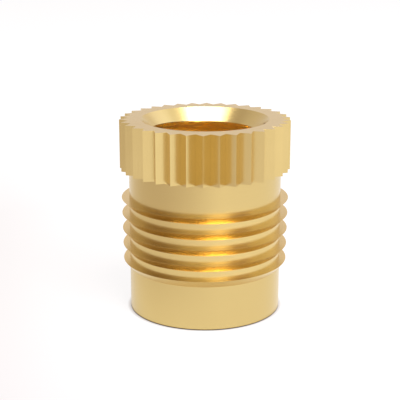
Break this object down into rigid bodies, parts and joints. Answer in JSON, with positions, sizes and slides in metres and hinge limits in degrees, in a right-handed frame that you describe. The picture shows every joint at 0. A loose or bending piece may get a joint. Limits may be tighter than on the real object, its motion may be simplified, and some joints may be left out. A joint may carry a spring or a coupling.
{
  "type": "threaded insert",
  "caption": "Brass press-in threaded insert: knurled head, five sharp barbed rings with flat shoulders on a plain round body, smooth pilot end, and a threaded through hole with a countersunk mouth.",
  "frame": {"origin": "centre of the bottom face, at the pilot end, on the axis of the hole", "axes": "+Z along the axis of the hole, from the pilot end to the face of the head"},
  "size_m": [0.011, 0.0112, 0.0127],
  "materials": {
    "brass": "bright turned brass with fine turning marks, neither lacquered nor plated"
  },
  "bodies": {
    "root": {"insert_body": "brass"}
  },
  "joints": []
}
